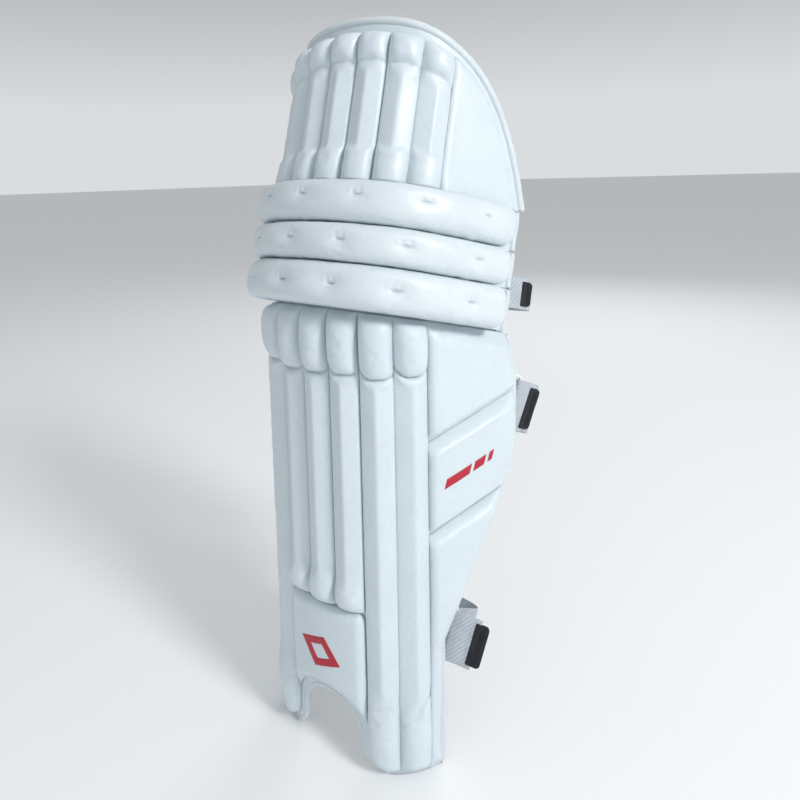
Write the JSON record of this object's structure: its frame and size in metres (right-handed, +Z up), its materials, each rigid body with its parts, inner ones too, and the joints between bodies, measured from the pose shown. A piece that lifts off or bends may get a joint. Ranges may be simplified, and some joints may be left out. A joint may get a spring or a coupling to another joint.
{
  "type": "cricket leg pad",
  "caption": "Padded leg guard with ribbed shin and flap, horizontal knee rolls, side wings and hook-and-loop calf straps.",
  "frame": {"origin": "centre of the bounding box at the ground, under the two bottom lobes", "axes": "+Z up along the shin, -Y towards the front of the pad, +X to the right side seen from the front"},
  "size_m": [0.2876, 0.237, 0.7246],
  "materials": {
    "pad_leather": "soft white coated leather with a fine grain, satin",
    "binding_leather": "soft white coated leather, folded and stitched",
    "lining_cloth": "brushed white lining cloth",
    "foam": "open foam, hidden",
    "cane": "split cane, hidden",
    "webbing": "woven grey-white webbing",
    "ring_plastic": "moulded white plastic",
    "pull_tab": "moulded black rubber, slightly ribbed"
  },
  "bodies": {
    "shin": {"shin_backing": "pad_leather", "shin_lining": "lining_cloth", "shin_channel_1": "pad_leather", "shin_channel_2": "pad_leather", "shin_channel_3": "pad_leather", "shin_channel_4": "pad_leather", "shin_channel_5": "pad_leather", "shin_channel_6": "pad_leather", "shin_channel_7": "pad_leather", "shin_canes": "cane", "instep_patch": "pad_leather", "wing_right_upper": "pad_leather", "wing_right_middle": "pad_leather", "wing_right_lower": "pad_leather", "wing_left_upper": "pad_leather", "wing_left_middle": "pad_leather", "wing_left_lower": "pad_leather", "shin_binding": "binding_leather", "calf_bolster_right": "lining_cloth", "calf_bolster_left": "lining_cloth", "middle_strap_run": "webbing", "middle_strap_keeper": "webbing", "middle_strap_ring": "ring_plastic", "bottom_strap_run": "webbing", "bottom_strap_keeper": "webbing", "bottom_strap_ring": "ring_plastic"},
    "knee_lower": {"knee_backing_lower": "pad_leather", "knee_roll_lower": "pad_leather", "knee_core_lower": "foam", "top_strap_run": "webbing", "top_strap_keeper": "webbing", "top_strap_ring": "ring_plastic"},
    "knee_middle": {"knee_backing_middle": "pad_leather", "knee_roll_middle": "pad_leather", "knee_core_middle": "foam", "knee_cradle": "lining_cloth"},
    "knee_upper": {"knee_backing_upper": "pad_leather", "knee_roll_upper": "pad_leather", "knee_core_upper": "foam"},
    "top_flap": {"flap_backing": "pad_leather", "flap_lining": "lining_cloth", "flap_channel_1": "pad_leather", "flap_channel_2": "pad_leather", "flap_channel_3": "pad_leather", "flap_channel_4": "pad_leather", "flap_channel_5": "pad_leather", "flap_channel_6": "pad_leather", "flap_channel_7": "pad_leather", "flap_canes": "cane", "flap_wing_right": "pad_leather", "flap_wing_left": "pad_leather", "flap_binding": "binding_leather"},
    "top_strap_tail_body": {"top_strap_tail": "webbing", "top_strap_tab": "pull_tab"},
    "middle_strap_tail_body": {"middle_strap_tail": "webbing", "middle_strap_tab": "pull_tab"},
    "bottom_strap_tail_body": {"bottom_strap_tail": "webbing", "bottom_strap_tab": "pull_tab"}
  },
  "joints": [
    {"name": "knee_flex_1", "type": "hinge", "parent": "shin", "child": "knee_lower", "pos_m": [0, 0.0345, 0.42773], "axis": [-1, 0, 0], "range_deg": [0, 3.5]},
    {"name": "knee_flex_2", "type": "hinge", "parent": "knee_lower", "child": "knee_middle", "pos_m": [0, 0.0449, 0.46656], "axis": [-1, 0, 0], "range_deg": [0, 3.5]},
    {"name": "knee_flex_3", "type": "hinge", "parent": "knee_middle", "child": "knee_upper", "pos_m": [0, 0.05396, 0.50037], "axis": [-1, 0, 0], "range_deg": [0, 3.5]},
    {"name": "knee_flex_4", "type": "hinge", "parent": "knee_upper", "child": "top_flap", "pos_m": [0, 0.06406, 0.53804], "axis": [-1, 0, 0], "range_deg": [0, 3.5]},
    {"name": "top_strap_peel", "type": "hinge", "parent": "knee_lower", "child": "top_strap_tail_body", "pos_m": [0.13203, 0.05272, 0.4624], "axis": [0, -0.2588, -0.9659], "range_deg": [0, 90]},
    {"name": "middle_strap_peel", "type": "hinge", "parent": "shin", "child": "middle_strap_tail_body", "pos_m": [0.13217, 0.06169, 0.34682], "axis": [-0.1664, -0.3356, -0.9272], "range_deg": [0, 90]},
    {"name": "bottom_strap_peel", "type": "hinge", "parent": "shin", "child": "bottom_strap_tail_body", "pos_m": [0.10166, -0.01069, 0.12437], "axis": [-0.152, -0.3064, -0.9397], "range_deg": [0, 70]}
  ],
  "couplings": [
    {"joint": "knee_flex_2", "follows": "knee_flex_1", "ratio": 1},
    {"joint": "knee_flex_3", "follows": "knee_flex_1", "ratio": 1},
    {"joint": "knee_flex_4", "follows": "knee_flex_1", "ratio": 1}
  ]
}
